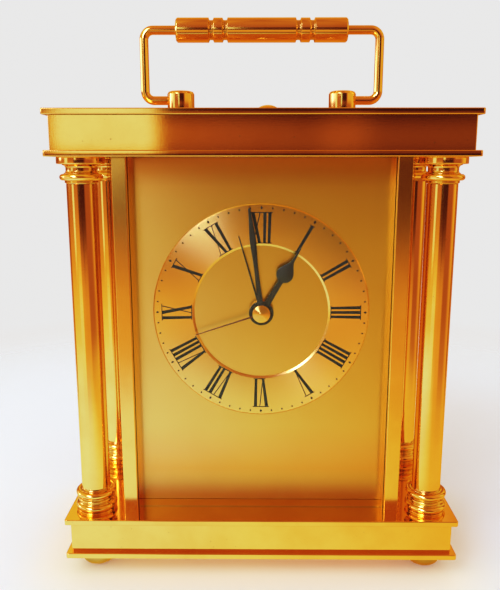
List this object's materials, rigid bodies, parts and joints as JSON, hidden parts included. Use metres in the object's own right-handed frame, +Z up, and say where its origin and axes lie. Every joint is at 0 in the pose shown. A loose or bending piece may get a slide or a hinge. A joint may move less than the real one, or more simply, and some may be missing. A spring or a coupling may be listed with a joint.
{
  "type": "carriage clock",
  "caption": "Brass carriage clock with corner columns, moulded base and cornice, glazed dial with a raised numeral ring, folding top handle, hands, rear door and bun feet.",
  "frame": {"origin": "centre of the footprint on the table plane, under the bun feet", "axes": "+Z up, +X to the right as seen from the front, the dial faces -Y"},
  "size_m": [0.14, 0.064, 0.1961],
  "materials": {
    "polished_brass": "polished and lacquered, light scratches and small pits",
    "satin_brass": "fine vertical satin",
    "ring_brass": "circular brushed, bevelled edges",
    "glass": "clear polished pane",
    "black_paint": "matt black",
    "dark_red_paint": "satin dark red-brown",
    "steel": "plain bright",
    "black_plastic": "fine moulded texture",
    "red_plastic": "moulded gloss",
    "gear_plastic": "natural acetal",
    "board": "solder mask",
    "copper_wire": "enamelled winding wire",
    "battery_sleeve": "shrink sleeve, unmarked",
    "lead_sleeve": "wire insulation",
    "magnet": "bonded ferrite"
  },
  "bodies": {
    "case": {"base_bottom_plate": "polished_brass", "base_band": "polished_brass", "base_top_plate": "polished_brass", "bun_feet": "polished_brass", "cornice_bottom_plate": "polished_brass", "cornice_band": "polished_brass", "cornice_top_plate": "polished_brass", "column_shafts": "polished_brass", "column_capitals": "polished_brass", "column_bases": "polished_brass", "tie_rods": "steel", "rod_bosses": "polished_brass", "front_pilasters": "satin_brass", "rear_posts": "satin_brass", "post_screws": "steel", "side_panels": "polished_brass", "front_glass": "glass", "dial_plate": "satin_brass", "chapter_ring": "ring_brass", "centre_nut": "polished_brass", "movement_front": "black_plastic", "movement_back": "black_plastic", "gear_bridge": "black_plastic", "circuit_board": "board", "quartz_crystal": "steel", "coil": "copper_wire", "stator": "steel", "battery": "battery_sleeve", "battery_contacts": "steel", "buzzer": "polished_brass", "handle_posts": "polished_brass", "handle_post_screws": "steel", "button_bush": "polished_brass", "button_spring": "steel", "stop_switch": "black_plastic", "switch_leads": "lead_sleeve"},
    "handle": {"handle_wire": "polished_brass", "handle_grip": "polished_brass"},
    "button": {"alarm_button": "polished_brass"},
    "door": {"back_door": "polished_brass", "door_knob": "polished_brass"},
    "second_arbor": {"seconds_wheel": "gear_plastic", "second_hand": "dark_red_paint", "centre_cap": "polished_brass"},
    "rotor": {"rotor": "magnet"},
    "intermediate_arbor": {"intermediate_wheel": "gear_plastic"},
    "third_arbor": {"third_wheel": "gear_plastic"},
    "centre_arbor": {"centre_wheel": "gear_plastic", "minute_hand": "black_paint"},
    "motion_arbor": {"motion_wheel": "gear_plastic"},
    "hour_tube": {"hour_wheel": "gear_plastic", "hour_hand": "black_paint"},
    "time_setter": {"time_set_knob": "black_plastic"},
    "alarm_tube": {"alarm_wheel": "gear_plastic", "alarm_hand": "black_paint"},
    "alarm_setter": {"alarm_set_knob": "black_plastic"},
    "alarm_slide": {"alarm_switch": "red_plastic"}
  },
  "joints": [
    {"name": "handle_fold", "type": "hinge", "parent": "case", "child": "handle", "pos_m": [0, 0, 0.168], "axis": [1, 0, 0], "range_deg": [-90, 90]},
    {"name": "button_press", "type": "slide", "parent": "case", "child": "button", "axis": [0, 0, -1], "range_m": [0, 0.0015], "stiffness_N_per_m": 400, "springref_m": -0.002, "deforming": ["button_spring"]},
    {"name": "door_swing", "type": "hinge", "parent": "case", "child": "door", "pos_m": [-0.0432, 0.02275, 0.0848], "axis": [0, 0, 1], "range_deg": [0, 110]},
    {"name": "second_turn", "type": "hinge", "parent": "case", "child": "second_arbor", "pos_m": [0, 0, 0.0939], "axis": [0, 1, 0], "continuous": true},
    {"name": "rotor_turn", "type": "hinge", "parent": "case", "child": "rotor", "pos_m": [0.01314, 0, 0.09984], "axis": [0, 1, 0], "continuous": true},
    {"name": "intermediate_turn", "type": "hinge", "parent": "case", "child": "intermediate_arbor", "pos_m": [0.00594, 0, 0.09984], "axis": [0, 1, 0], "continuous": true},
    {"name": "third_turn", "type": "hinge", "parent": "case", "child": "third_arbor", "pos_m": [-0.00846, 0, 0.09698], "axis": [0, 1, 0], "continuous": true},
    {"name": "minute_turn", "type": "hinge", "parent": "case", "child": "centre_arbor", "pos_m": [0, 0, 0.0939], "axis": [0, 1, 0], "continuous": true},
    {"name": "motion_turn", "type": "hinge", "parent": "case", "child": "motion_arbor", "pos_m": [0, 0, 0.0867], "axis": [0, 1, 0], "continuous": true},
    {"name": "hour_turn", "type": "hinge", "parent": "case", "child": "hour_tube", "pos_m": [0, 0, 0.0939], "axis": [0, 1, 0], "continuous": true},
    {"name": "time_setting", "type": "hinge", "parent": "case", "child": "time_setter", "pos_m": [0, 0, 0.0795], "axis": [0, 1, 0], "continuous": true},
    {"name": "alarm_turn", "type": "hinge", "parent": "case", "child": "alarm_tube", "pos_m": [0, 0, 0.0939], "axis": [0, 1, 0], "continuous": true},
    {"name": "alarm_setting", "type": "hinge", "parent": "case", "child": "alarm_setter", "pos_m": [0.00737, 0, 0.08874], "axis": [0, 1, 0], "continuous": true},
    {"name": "alarm_on_off", "type": "slide", "parent": "case", "child": "alarm_slide", "axis": [0, 0, 1], "range_m": [0, 0.003]}
  ],
  "couplings": [
    {"joint": "intermediate_turn", "follows": "second_turn", "ratio": -6},
    {"joint": "rotor_turn", "follows": "second_turn", "ratio": 30},
    {"joint": "third_turn", "follows": "second_turn", "ratio": -0.125},
    {"joint": "minute_turn", "follows": "second_turn", "ratio": 0.016667},
    {"joint": "motion_turn", "follows": "second_turn", "ratio": -0.0055556},
    {"joint": "hour_turn", "follows": "second_turn", "ratio": 0.0013889},
    {"joint": "time_setting", "follows": "second_turn", "ratio": 0.016667},
    {"joint": "alarm_setting", "follows": "alarm_turn", "ratio": -2}
  ]
}
